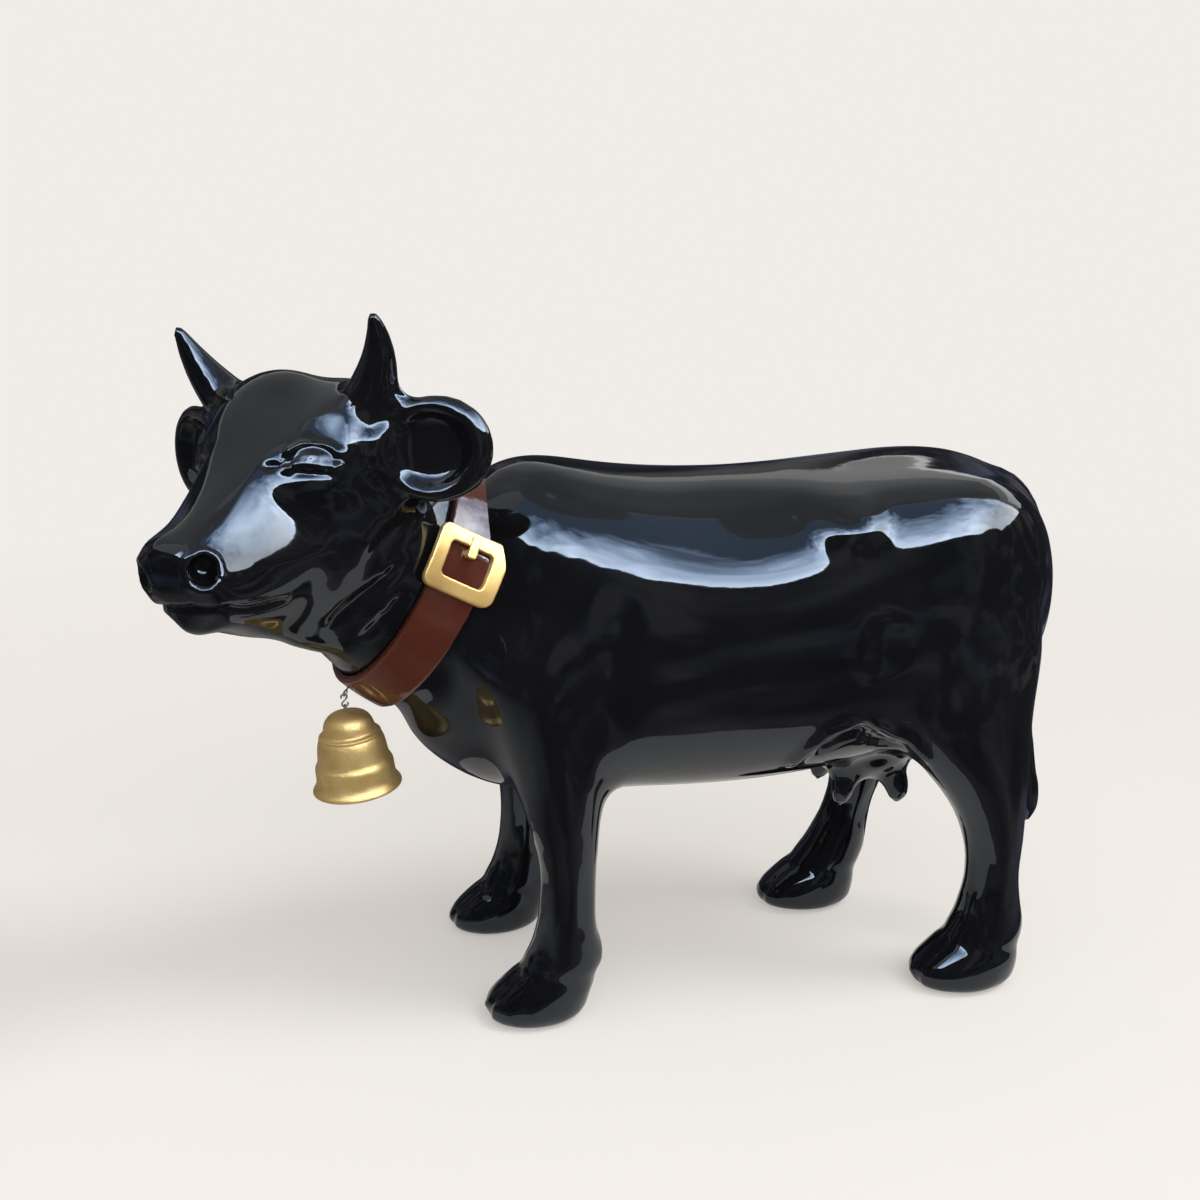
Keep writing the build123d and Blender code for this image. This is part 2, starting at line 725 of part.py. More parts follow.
# Clapper: a wire with a ring at the top and a ball cast round its lower end.
wire_top = clapper_ring - stem_radius
with BuildPart() as clapper_wire:
    with Locations(Plane(bell_spot(clapper_ring), x_dir=bell_back, z_dir=left_side)):
        Torus(stem_radius, wire_radius)
    add(cylinder_along(bell_spot(wire_top), bell_up * -1, wire_radius, wire_top - clapper_middle))
save(clapper_wire.part, "clapper_wire")
with BuildPart() as clapper_ball:
    with Locations(bell_spot(clapper_middle)):
        Sphere(clapper_ball_radius)
    add(
        cylinder_along(bell_spot(clapper_middle), bell_up, wire_radius + cast_gap, 2 * clapper_ball_radius),
        mode=Mode.SUBTRACT,
    )
save(clapper_ball.part, "clapper_ball")
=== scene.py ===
"""A standing cow figurine in black lacquer, with a brown collar, a gold buckle and a small gold bell."""
import json
import math

import bpy
import numpy as np
from mathutils import Matrix, Vector

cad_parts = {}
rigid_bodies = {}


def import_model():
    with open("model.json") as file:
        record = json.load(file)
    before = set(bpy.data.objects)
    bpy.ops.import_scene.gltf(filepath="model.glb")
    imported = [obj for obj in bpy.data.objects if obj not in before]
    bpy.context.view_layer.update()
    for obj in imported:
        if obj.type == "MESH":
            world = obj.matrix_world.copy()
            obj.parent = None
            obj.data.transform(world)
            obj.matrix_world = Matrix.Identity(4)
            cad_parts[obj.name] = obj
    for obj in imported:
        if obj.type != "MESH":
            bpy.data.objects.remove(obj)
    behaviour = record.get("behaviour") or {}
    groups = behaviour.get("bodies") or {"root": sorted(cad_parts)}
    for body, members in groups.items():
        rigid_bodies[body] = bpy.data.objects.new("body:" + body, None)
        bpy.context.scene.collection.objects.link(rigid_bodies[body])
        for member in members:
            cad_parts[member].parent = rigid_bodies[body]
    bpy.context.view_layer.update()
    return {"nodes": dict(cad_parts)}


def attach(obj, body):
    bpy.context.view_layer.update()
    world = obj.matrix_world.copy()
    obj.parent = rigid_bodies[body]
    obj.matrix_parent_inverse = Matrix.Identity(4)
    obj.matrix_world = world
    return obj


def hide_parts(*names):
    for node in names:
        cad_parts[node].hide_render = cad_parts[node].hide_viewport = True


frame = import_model()


# Body: two hollow halves of the trunk and the solid legs, tail and udder are castings that are glued
# together. Their joins are filled and rubbed down, so one skin runs over them, with the folds and
# muscles that were modelled by hand. It is dipped in black lacquer.
def gather(names, label):
    """Copies solids of the figure into one new piece, with its loose corners merged."""
    bpy.ops.object.select_all(action="DESELECT")
    for name in names:
        frame["nodes"][name].select_set(True)
    bpy.context.view_layer.objects.active = frame["nodes"][names[0]]
    bpy.ops.object.duplicate()
    if len(names) > 1:
        bpy.ops.object.join()
    piece = bpy.context.active_object
    bpy.ops.object.parent_clear(type="CLEAR_KEEP_TRANSFORM")
    for key in list(piece.keys()):
        del piece[key]
    piece.name = label
    piece.data.materials.clear()
    bpy.ops.object.mode_set(mode="EDIT")
    bpy.ops.mesh.select_all(action="SELECT")
    bpy.ops.mesh.customdata_custom_splitnormals_clear()
    bpy.ops.mesh.remove_doubles(threshold=1e-6)
    bpy.ops.object.mode_set(mode="OBJECT")
    return piece


def pick(piece):
    """Selects one piece and nothing else."""
    bpy.ops.object.select_all(action="DESELECT")
    piece.select_set(True)
    bpy.context.view_layer.objects.active = piece


def work(piece, kind, **settings):
    """Applies one modifier to a piece."""
    pick(piece)
    tool = piece.modifiers.new(kind.title(), kind)
    for name, value in settings.items():
        setattr(tool, name, value)
    bpy.ops.object.modifier_apply(modifier=tool.name)


def add_to(piece, extra):
    """Sets a second piece of clay onto the first."""
    pick(piece)
    extra.select_set(True)
    bpy.ops.object.join()


def lump(piece, middle, half_sizes, axes=None):
    """Presses a rounded lump of clay onto a piece. Places and sizes are in millimetres."""
    bpy.ops.object.select_all(action="DESELECT")
    bpy.ops.mesh.primitive_uv_sphere_add(segments=32, ring_count=20, radius=0.001)
    clay = bpy.context.active_object
    turn = Matrix(axes).transposed().to_4x4() if axes else Matrix.Identity(4)
    clay.data.transform(
        Matrix.Translation(Vector(middle) / 1000) @ turn @ Matrix.Diagonal((*half_sizes, 1))
    )
    add_to(piece, clay)


def skin_points(piece):
    """Places and outward directions of a piece's points, in millimetres."""
    count = len(piece.data.vertices)
    places = np.empty(count * 3)
    ways = np.empty(count * 3)
    piece.data.vertices.foreach_get("co", places)
    piece.data.vertices.foreach_get("normal", ways)
    return places.reshape(-1, 3) * 1000, ways.reshape(-1, 3)


def outer_skin(piece):
    """Takes away the walls of the hollow inside, which nobody sees."""
    bpy.ops.object.mode_set(mode="EDIT")
    bpy.ops.mesh.select_all(action="DESELECT")
    bpy.ops.object.mode_set(mode="OBJECT")
    places = skin_points(piece)[0]
    piece.data.vertices[int(np.argmax(places[:, 2]))].select = True
    bpy.ops.object.mode_set(mode="EDIT")
    bpy.ops.mesh.select_linked()
    bpy.ops.mesh.select_all(action="INVERT")
    bpy.ops.mesh.delete(type="VERT")
    bpy.ops.object.mode_set(mode="OBJECT")


def one_skin(piece, grain, fillet, rubs):
    """Runs one skin over the lumps and solids of a piece and fills the corners between them.

    The skin swells by the fillet and shrinks by it again, and is then rubbed down. Sizes are in metres.
    """
    for swell in (fillet, -fillet):
        work(piece, "REMESH", mode="VOXEL", voxel_size=grain)
        outer_skin(piece)
        work(piece, "DISPLACE", strength=swell, mid_level=0)
    work(piece, "SMOOTH", factor=0.5, iterations=rubs)


def reshape(piece, places):
    """Moves a piece's points to new places, in millimetres."""
    piece.data.vertices.foreach_set("co", (places / 1000).ravel())
    piece.data.update()


def on_skin(places, line):
    """A line with more points in it, each moved to the nearest point of the skin."""
    line = np.array(line, float)
    steps = np.linspace(0, 1, 6)[:, None]
    line = np.concatenate([start + (end - start) * steps for start, end in zip(line[:-1], line[1:])])
    search = 12
    near = places[((places > line.min(0) - search) & (places < line.max(0) + search)).all(1)]
    return np.array([near[np.argmin(((near - point) ** 2).sum(1))] for point in line])


def draw(piece, line, height, width, fade=0.0):
    """Draws a modelling tool along a line on the skin, which rises or sinks by height at the line.

    The stroke dies away over the share fade of its length at both ends.
    """
    places, ways = skin_points(piece)
    line = on_skin(places, line)
    reach = 3 * width
    touched = ((places > line.min(0) - reach) & (places < line.max(0) + reach)).all(1)
    spots = places[touched]
    nearest = np.full(len(spots), np.inf)
    along = np.zeros(len(spots))
    for number, (start, end) in enumerate(zip(line[:-1], line[1:])):
        run = end - start
        share = np.clip((spots - start) @ run / max(run @ run, 1e-9), 0, 1)
        gap = ((spots - start - share[:, None] * run) ** 2).sum(1)
        closer = gap < nearest
        nearest[closer] = gap[closer]
        along[closer] = (number + share[closer]) / (len(line) - 1)
    rise = height * np.exp(-nearest / width**2)
    if fade:
        rise *= np.clip(np.minimum(along, 1 - along) / fade, 0, 1)
    places[touched] += ways[touched] * rise[:, None]
    reshape(piece, places)


def press(piece, middle, reach, depth, axes=None, flat=1.0):
    """Presses a rounded tool into the skin that faces it, or pulls the skin out where depth is negative.

    The tool reaches so far along its own axes, the last of which looks out of the skin. A flat tool,
    over 1, has a level bottom and steep sides.
    """
    places, ways = skin_points(piece)
    nearest = np.argmin(((places - np.array(middle)) ** 2).sum(1))
    gap = places - places[nearest]
    facing = ways[nearest] if axes is None else np.array(axes[2])
    if axes is not None:
        gap = gap @ np.array(axes).T
    far = ((gap / np.array(reach)) ** 2).sum(1)
    share = np.exp(-(far**flat)) * np.clip(ways @ facing, 0, 1)
    reshape(piece, places - facing * (depth * share)[:, None])


mid_plane = 15.7  # mm, the animal's middle


def mirrored(point):
    """The same place on the animal's other side."""
    return (point[0], 2 * mid_plane - point[1], point[2])


def draw_both(piece, line, height, width, fade):
    """Draws the same line on both sides of the animal."""
    draw(piece, line, height, width, fade)
    draw(piece, [mirrored(point) for point in line], height, width, fade)


body_castings = [
    "trunk_left_shell",
    "trunk_right_shell",
    "front_left_leg",
    "front_right_leg",
    "rear_left_leg",
    "rear_right_leg",
]
cow_body = gather(body_castings, "cow_body")
neck_axes = ((-0.8236, -0.2676, 0.5), (-0.309, 0.951, 0), (0.4755, 0.1545, 0.866))
lump(cow_body, (-86.0, 11.2, 178.3), (12, 36, 48), neck_axes)
# Filling of the trunk: the place along the animal, its back, its belly and its half width there
trunk_rows = np.array(
    (
        (-102.4, 170, 113, 17),
        (-85.4, 201, 101, 29),
        (-60.4, 230.5, 89.5, 48),
        (-20.4, 229.5, 88, 60),
        (29.6, 225.5, 88, 63),
        (69.6, 226.5, 91, 63),
        (105.6, 228.5, 98, 61.5),
        (139.6, 229, 108, 56),
        (162.6, 221.5, 122, 44),
        (176.1, 206, 138, 30),
    )
)
under_skin = 2.5
for x in range(-70, 160, 12):
    back, belly, wide = (np.interp(x, trunk_rows[:, 0], trunk_rows[:, column]) for column in (1, 2, 3))
    half_high = (back - belly) / 2 - under_skin
    lump(cow_body, (x, mid_plane, (back + belly) / 2), (20, wide - under_skin, half_high))
one_skin(cow_body, grain=0.003, fillet=0.0055, rubs=8)
# Tail and udder: hung on with sharper corners than the legs have
hanging_parts = gather(["tail"], "hanging_parts")
lump(hanging_parts, (103.6, mid_plane, 104.0), (27, 29, 20))
for teat_x in (90.6, 116.6):
    for teat_side in (-16, 16):
        lump(hanging_parts, (teat_x, mid_plane + teat_side, 82.5), (6.2, 6.2, 9.5))
add_to(cow_body, hanging_parts)
one_skin(cow_body, grain=0.0032, fillet=0.0012, rubs=5)
work(cow_body, "SUBSURF", levels=1, render_levels=1)
# The soft unevenness of a surface that was modelled by hand
hand = bpy.data.textures.new("hand", "CLOUDS")
hand.noise_scale = 0.05
hand.noise_depth = 1
work(cow_body, "DISPLACE", texture=hand, texture_coords="LOCAL", strength=0.0006, mid_level=0.5)
# Shoulder: the hollow behind it and the one down the upper leg
behind_shoulder = [(-17.8, -39.8, 190.2), (-17.6, -43.7, 169.1), (-18.8, -44.1, 153), (-20.5, -36, 122)]
draw_both(cow_body, behind_shoulder, height=-1.5, width=8, fade=0.2)
upper_leg = [(-41.5, -45.5, 146.4), (-35.5, -44.4, 129.2), (-29, -40.4, 106.1)]
draw_both(cow_body, upper_leg, height=-1.0, width=5, fade=0.25)
# Hollow of the loin, hook bone of the hip and the hollow behind it
loin = (34, -30, 213)
for hollow in (loin, mirrored(loin)):
    press(cow_body, hollow, reach=(36, 26, 24), depth=4.0)
for way in (-1, 1):
    hip_axes = ((1, 0, 0), (0, 0, 1), (0, way, 0))
    hook_bone = (76.5, mid_plane + way * 43, 217)
    press(cow_body, hook_bone, reach=(14, 13, 40), depth=-9.5, axes=hip_axes, flat=1.4)
behind_hip = [(93.9, -45.9, 177), (89.3, -46.5, 165), (90.4, -44.9, 147.7)]
draw_both(cow_body, behind_hip, height=-1.5, width=8, fade=0.2)
# Folds of skin from the flank over the udder, with the groove under them
flank_fold = [(56, -25, 104), (61.8, -34.6, 115.1), (70.5, -39.4, 125.1), (85.2, -40.6, 130.3)]
draw_both(cow_body, flank_fold, height=2.4, width=3.0, fade=0.15)
udder_fold = [(85.2, -40.6, 130.3), (97, -38, 120), (108, -37, 112), (117, -36, 104)]
draw_both(cow_body, udder_fold, height=2.2, width=3.0, fade=0.15)
fold_groove = [(66, -33, 112), (76, -37, 121), (84, -37, 124), (93, -33, 116), (103, -30, 107)]
draw_both(cow_body, fold_groove, height=-2.4, width=3.0, fade=0.1)
# Legs: height and middle of each, from the sole up. The hoof has a rim, a cleft and dew claws behind,
# and tendons run between the grooves of the shank.
leg_lines = (
    ((6, -50.9, -26.3), (22, -40.0, -26.3), (38, -37.0, -26.3), (52, -36.3, -26.3), (72, -36.3, -25.8)),
    ((6, -60.9, 57.7), (22, -49.9, 57.7), (38, -46.5, 57.7), (52, -45.5, 57.7), (72, -45.0, 57.2)),
    ((6, 139.6, -27.3), (22, 148.2, -27.3), (38, 151.2, -27.3), (52, 151.0, -27.3), (72, 149.8, -27.0)),
    ((6, 93.1, 58.8), (22, 103.0, 58.7), (38, 110.6, 58.7), (52, 114.2, 58.7), (72, 118.6, 58.4)),
)
shank_radius = 14
for (_, sole_x, sole_y), (_, rim_x, rim_y), *shank_line in leg_lines:
    hoof_rim = []
    for step in range(17):
        turn = 2 * math.pi * step / 16
        ahead = math.cos(turn)
        hoof_rim.append((rim_x + 19 * ahead, rim_y + 17 * math.sin(turn), 20.5 - 2.5 * ahead))
    draw(cow_body, hoof_rim, height=-0.7, width=3.6)
    cleft = [(rim_x - 18, rim_y - 4, 20), (sole_x - 20, sole_y - 5, 10), (sole_x - 24, sole_y - 5, 2)]
    draw(cow_body, cleft, height=-1.2, width=1.9)
    press(cow_body, (rim_x + 18, rim_y, 29), reach=(9, 11, 8), depth=-1.3)
    for turn in (-150, -110, -65, 65, 110, 150):
        ahead = math.cos(math.radians(turn)) * shank_radius
        aside = math.sin(math.radians(turn)) * shank_radius
        tendon_groove = [(x + ahead, y + aside, z) for z, x, y in shank_line]
        draw(cow_body, tendon_groove, height=-0.6, width=3.2, fade=0.3)
work(cow_body, "SMOOTH", factor=0.5, iterations=2)


class Lead:
    """One output in a material, which plus, minus and times carry on into new nodes."""

    def __init__(self, tree, socket):
        self.tree = tree
        self.socket = socket

    def node(self, kind, settings=None, values=None, output=0):
        """Adds a node, sets it up, and gives its sockets their values or links."""
        made = self.tree.nodes.new(kind)
        for name, value in (settings or {}).items():
            setattr(made, name, value)
        for name, value in (values or {}).items():
            if isinstance(value, Lead):
                self.tree.links.new(value.socket, made.inputs[name])
            else:
                made.inputs[name].default_value = value
        return Lead(self.tree, made.outputs[output]) if made.outputs else made

    def sum(self, way, first, second):
        return self.node("ShaderNodeMath", {"operation": way}, {0: first, 1: second})

    def __add__(self, other):
        return self.sum("ADD", self, other)

    def __radd__(self, other):
        return self.sum("ADD", other, self)

    def __sub__(self, other):
        return self.sum("SUBTRACT", self, other)

    def __rsub__(self, other):
        return self.sum("SUBTRACT", other, self)

    def __mul__(self, other):
        return self.sum("MULTIPLY", self, other)

    def __rmul__(self, other):
        return self.sum("MULTIPLY", other, self)

    def noise(self, scale, detail):
        values = {"Vector": self, "Scale": scale, "Detail": detail}
        return self.node("ShaderNodeTexNoise", None, values)

    def between(self, low, high):
        """Spreads a value's middle part from low to high over 0 to 1."""
        values = {"Value": self, "From Min": low, "From Max": high}
        return self.node("ShaderNodeMapRange", None, values)

    def blend(self, first, second):
        """A colour between two, by this value. The mix node's colours are its sockets 6, 7 and 2."""
        values = {0: self, 6: first, 7: second}
        return self.node("ShaderNodeMix", {"data_type": "RGBA"}, values, 2)

    def bump(self, strength, distance):
        values = {"Height": self, "Strength": strength, "Distance": distance}
        return self.node("ShaderNodeBump", None, values)


def bare_material(label):
    """A new material with no shader in it yet, and a lead on Object coordinates."""
    paint = bpy.data.materials.new(label)
    paint.use_nodes = True
    paint.node_tree.nodes.clear()
    return paint, Lead(paint.node_tree, None).node("ShaderNodeTexCoord", output="Object")


def coating(label, **constants):
    """A new finish: its surface shader with constant settings, and a lead on Object coordinates."""
    paint, place = bare_material(label)
    shader = place.tree.nodes.new("ShaderNodeBsdfPrincipled")
    for name, value in constants.items():
        shader.inputs[name.replace("_", " ")].default_value = value
    surface = Lead(place.tree, shader.outputs[0])
    place.node("ShaderNodeOutputMaterial", None, {"Surface": surface})
    return paint, place, shader


def plug(shader, **leads):
    """Links what changes over a surface to its shader."""
    for name, lead in leads.items():
        lead.tree.links.new(lead.socket, shader.inputs[name.replace("_", " ")])


def dress(piece, paint, body, *nodes, slot):
    """Gives a piece its finish and its body, and hides the solids that it stands for."""
    piece.data.materials.clear()
    piece.data.materials.append(paint)
    pick(piece)
    bpy.ops.object.shade_smooth()
    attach(piece, body)
    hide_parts(*nodes)


black_lacquer, place, shader = coating("black_lacquer", IOR=1.55, Specular_Tint=(0.74, 0.86, 1.0, 1))
drift = place.noise(24, 2)
peel = place.noise(260, 1)
dust = place.noise(1500, 3).between(0.74, 0.80)
greyed = drift.between(0.3, 0.7) * 0.6 + dust * 0.8
plug(
    shader,
    Base_Color=greyed.blend((0.0035, 0.0036, 0.0042, 1), (0.008, 0.008, 0.009, 1)),
    Roughness=0.035 + drift * 0.03 + dust * 0.12,
    Normal=(peel * 0.5 + place.noise(70, 2)).bump(0.035, 0.0008),
)
dress(cow_body, black_lacquer, "figurine", *body_castings, "tail", "udder", slot="black_lacquer")


# Head: a casting of its own with the front of the neck, the two horns and the cupped ears, all filled
# over into one skin. Lids, nostrils and mouth are modelled by hand before the lacquer.
brow_middle = Vector((-147.4, -19.3, 250.0))
nose_way = Vector((-0.5155, -0.7362, -0.4384))
left_way = Vector((0.7913, -0.6054, 0.0861))
crown_way = Vector((-0.3288, -0.3025, 0.8947))
head_axes = (tuple(nose_way), tuple(left_way), tuple(crown_way))


def on_head(ahead, left, up):
    """A place on the head, given in millimetres ahead, to the left and up from the brow."""
    return tuple(brow_middle + nose_way * ahead + left_way * left + crown_way * up)


def head_way(ahead, left, up):
    """A direction on the head, of length one."""
    return tuple((nose_way * ahead + left_way * left + crown_way * up).normalized())


def ear_axes(side):
    """The ear's long way, its broad way and the way its cup looks, left with 1 and right with -1."""
    return (
        head_way(-0.367, side * 0.917, -0.160),
        head_way(0.454, side * 0.026, -0.891),
        head_way(0.812, side * 0.399, 0.426),
    )


def shave(piece, middle, reach, way, share):
    """Flattens the skin round a place: what stands out along way comes back to a plane by a share."""
    places = skin_points(piece)[0]
    gap = places - np.array(middle)
    far = ((gap @ np.array(head_axes).T / np.array(reach)) ** 2).sum(1)
    proud = np.clip(gap @ np.array(way), 0, None)
    places -= np.array(way) * (proud * share * np.exp(-(far**2)))[:, None]
    reshape(piece, places)


cow_head = gather(["head_shell"], "cow_head")
# Clay on the casting: the neck under the collar, the muzzle, the jaw's root, the throat, the nape, the
# chin, and the roots of the horns and ears
lump(cow_head, (-101.0, 6.4, 187.5), (12, 34.5, 46.5), neck_axes)
lump(cow_head, on_head(64, 0, -16.5), (14, 17, 13.5), head_axes)
for jaw_root in (
    (-134, -33, 186),
    (-128.5, -35, 194),
    (-122.5, -36, 203),
    (-117.5, -36, 212),
    (-111, -33.5, 220),
):
    lump(cow_head, jaw_root, (8, 7, 8))
for throat in ((-146, -34, 180), (-140, -28, 175.5), (-134, -22, 172)):
    lump(cow_head, throat, (9, 9, 9))
for nape in ((-101, -25, 224), (-106, -29, 222)):
    lump(cow_head, nape, (8, 8, 8))
lump(cow_head, (-172.5, -61, 190.5), (9, 9, 8.5))
for side in (1, -1):
    lump(cow_head, on_head(-19.3, side * 28, -7), (8, 8, 8))
    lump(cow_head, on_head(-7, side * 35, -13), (7, 7, 7))
one_skin(cow_head, grain=0.0022, fillet=0.013, rubs=6)
# Horns with their blunt tips, and the thick leaf of each ear with two lumps at its root
horns_and_ears = gather(["left_horn", "right_horn"], "horns_and_ears")
for side in (1, -1):
    lump(horns_and_ears, on_head(-15.6, side * 59.4, -19.6), (22, 20.5, 7), ear_axes(side))
    lump(horns_and_ears, on_head(-9.5, side * 44.0, -16.0), (11, 11, 8), ear_axes(side))
    lump(horns_and_ears, on_head(-14.0, side * 43.0, -27.0), (9, 9, 9), ear_axes(side))
    lump(horns_and_ears, on_head(-23.9, side * 47.6, 30.8), (2.8, 2.8, 2.8))
add_to(cow_head, horns_and_ears)
one_skin(cow_head, grain=0.00184, fillet=0.003, rubs=5)
work(cow_head, "SUBSURF", levels=1, render_levels=1)
# Jaw: its low edge rises behind the chin
press(cow_head, (-151, -47, 180), reach=(24, 20, 16), depth=2.0, axes=((1, 0, 0), (0, -1, 0), (0, 0, -1)))
for side in (1, -1):
    # Face: the flat side between the bridge of the nose, the eye and the cheek, and the flat temple
    cheek_way = head_way(0.083, side * 0.906, 0.416)
    shave(cow_head, on_head(40, side * 16.8, -12), (27, 30, 26), cheek_way, 0.75)
    temple_way = head_way(0.585, side * 0.365, 0.721)
    shave(cow_head, on_head(-1.1, side * 31.4, 0.5), (12, 12, 11), temple_way, 0.85)
    # Ear: the cup inside its thick round rim
    cup = on_head(-13.0, side * 58.0, -18.0)
    press(cow_head, cup, reach=(15.5, 14, 14), depth=8.5, axes=ear_axes(side), flat=3.0)
work(cow_head, "SMOOTH", factor=0.5, iterations=4)


def lid(eye, along, over, wide, high, lift=0.0):
    """A curve over the eye, or under it where high is negative."""
    curve = []
    for step in range(9):
        turn = math.pi * step / 8
        curve.append(tuple(eye - along * wide * math.cos(turn) + over * (high * math.sin(turn) + lift)))
    return curve


for side in (1, -1):
    # Eye: an almond hollow with the ball in it, an upper and a lower lid, a groove and a bag under the
    # lower one, and the tear duct at the inner corner
    eye = Vector(on_head(14.7, side * 28.6, -3.3))
    along = Vector(head_way(-0.53, side * 0.72, -0.45))
    over = Vector(head_way(-0.78, side * -0.21, 0.59))
    eye_axes = (tuple(along), tuple(over), head_way(0.33, side * 0.66, 0.67))
    press(cow_head, eye, reach=(10.5, 5.6, 9), depth=2.4, axes=eye_axes, flat=1.6)
    press(cow_head, eye, reach=(6.9, 3.9, 9), depth=-4.2, axes=eye_axes, flat=1.4)
    draw(cow_head, lid(eye, along, over, 10.8, 6.1, 0.3), height=2.0, width=1.7, fade=0.15)
    draw(cow_head, lid(eye, along, over, 11.2, -5.2), height=2.2, width=1.7, fade=0.12)
    draw(cow_head, lid(eye, along, over, 10.5, -8.0), height=-0.6, width=1.4, fade=0.3)
    bag = eye - over * 13.0 + along * 1.5
    press(cow_head, bag, reach=(12, 5.5, 9), depth=-2.6, axes=eye_axes, flat=1.2)
    tear_duct = [tuple(eye - along * 10.5), tuple(eye - along * 15.5 - over * 1.0)]
    draw(cow_head, tear_duct, height=-1.6, width=1.7)
# Nostrils: the place, the way each looks, its depth and how steep its sides are. Each is a hollow with
# a thin raised rim in a soft flare, and the far one is shallower.
nostrils = (
    (on_head(71.8, 15.2, -12.0), head_way(0.74, 0.66, 0.06), 9.0, 2.5),
    (on_head(75.0, -11.0, -12.0), head_way(0.86, -0.50, 0.06), 4.5, 1.4),
)
for middle, facing, depth, steep in nostrils:
    nostril = Vector(middle)
    out = Vector(facing)
    over = (crown_way - out * crown_way.dot(out)).normalized()
    along = over.cross(out)
    nostril_axes = (tuple(along), tuple(over), tuple(out))
    press(cow_head, nostril, reach=10.0, depth=-1.0, axes=nostril_axes)
    press(cow_head, nostril, reach=(5.0, 5.4, 12), depth=depth, axes=nostril_axes, flat=steep)
    rim = []
    for step in range(13):
        turn = 2 * math.pi * step / 12
        rim.append(tuple(nostril + along * 6.0 * math.cos(turn) + over * 6.4 * math.sin(turn)))
    draw(cow_head, rim, height=0.8, width=1.3)
# Mouth: one line round the muzzle, from corner to corner
mouth = [
    (76.8, 0, -23.8),
    (76.5, 6.9, -23.8),
    (70.9, 16.3, -28.1),
    (58.6, 18.0, -37.7),
    (45.7, 20.5, -43.1),
]
lips = [on_head(ahead, -left, up) for ahead, left, up in reversed(mouth[1:])]
lips += [on_head(*point) for point in mouth]
draw(cow_head, lips, height=-1.7, width=1.5, fade=0.06)
# Throat: its skin lies in folds before the collar
for fold in (
    [(-132.3, -26.8, 178.3), (-120.4, -33.1, 186.6), (-106.1, -32.8, 195.0)],
    [(-124.2, -29.8, 178.7), (-110.8, -33.3, 190.2), (-98.2, -30.0, 201.9)],
    [(-119.0, -26.3, 167.1), (-107.5, -30.8, 178.3), (-98.7, -30.6, 188.3)],
):
    draw(cow_head, fold, height=-1.4, width=2.4, fade=0.2)
work(cow_head, "SMOOTH", factor=0.3, iterations=1)
head_castings = ("head_shell", "left_horn", "right_horn", "left_ear", "right_ear")
dress(cow_head, black_lacquer, "figurine", *head_castings, slot="black_lacquer")


# Collar: a flat strap that closes round the neck over the seam between the head and the trunk. It is
# cast like the rest and painted a glossy leather brown.
collar = gather(["collar_strap"], "collar")
work(collar, "REMESH", mode="VOXEL", voxel_size=0.0006)
work(collar, "SMOOTH", factor=0.5, iterations=6)
strap_brown, place, shader = coating("strap_brown", IOR=1.55)
drift = place.noise(30, 3)
plug(
    shader,
    Base_Color=drift.between(0.3, 0.7).blend((0.058, 0.0150, 0.0085, 1), (0.082, 0.0225, 0.0125, 1)),
    Roughness=0.05 + drift * 0.05,
    Normal=(place.noise(300, 2) + place.noise(60, 2) * 1.5).bump(0.10, 0.0006),
)
dress(collar, strap_brown, "figurine", "collar_strap", slot="brown_strap")


# Buckle: a soft square frame on the left of the strap, with a short prong that lies over its bar. Both
# are cast in metal, painted a satin gold and glued on.
buckle = gather(["buckle_frame"], "buckle")
work(buckle, "REMESH", mode="VOXEL", voxel_size=0.00035)
work(buckle, "SMOOTH", factor=0.5, iterations=14)
prong = gather(["buckle_prong"], "prong")
work(prong, "REMESH", mode="VOXEL", voxel_size=0.0003)
work(prong, "SMOOTH", factor=0.5, iterations=10)
prong_root = (-0.0735, -0.0272, 0.201)
prong_size = 0.8
bpy.ops.object.mode_set(mode="EDIT")
bpy.ops.mesh.select_all(action="SELECT")
bpy.ops.transform.resize(value=(prong_size, prong_size, prong_size), center_override=prong_root)
bpy.ops.transform.translate(value=(-0.0002, 0.00065, -0.0002))
bpy.ops.object.mode_set(mode="OBJECT")
satin_gold, place, shader = coating("satin_gold", Metallic=0.7)
drift = place.noise(120, 3)
plug(
    shader,
    Base_Color=drift.between(0.3, 0.7).blend((0.57, 0.36, 0.12, 1), (0.68, 0.45, 0.16, 1)),
    Roughness=0.30 + drift * 0.12,
    Normal=(place.noise(1600, 2) * 0.5 + place.noise(240, 2)).bump(0.10, 0.0005),
)
dress(buckle, satin_gold, "figurine", "buckle_frame", slot="gold_buckle")
dress(prong, satin_gold, "figurine", "buckle_prong", slot="gold_buckle")


# Bell: pressed from thin sheet metal in three soft steps with a rolled lip, and sprayed with a grainy
# gold paint. It hangs under the collar from a wire through its crown.
bell_rows = (  # mm over the lip, and the radius there
    (0.0, 18.3),
    (0.5, 18.7),
    (1.4, 18.5),
    (2.6, 17.5),
    (4.0, 16.7),
    (6.0, 16.4),
    (9.5, 16.4),
    (10.8, 16.3),
    (11.9, 15.8),
    (13.0, 15.0),
    (14.4, 14.7),
    (18.0, 14.4),
    (21.0, 13.9),
    (22.9, 13.1),
    (23.4, 12.7),
    (23.8, 13.0),
    (24.3, 12.9),
    (24.6, 12.2),
    (25.0, 11.1),
    (25.8, 10.8),
    (28.4, 10.5),
    (30.6, 9.5),
    (32.2, 8.0),
    (33.2, 6.0),
    (33.7, 3.0),
    (33.8, 0.5),
)
bell_lip = (-0.121408, -0.00025, 0.097618)
bell_lean = Vector((-0.09941, -0.0323, 0.99452))


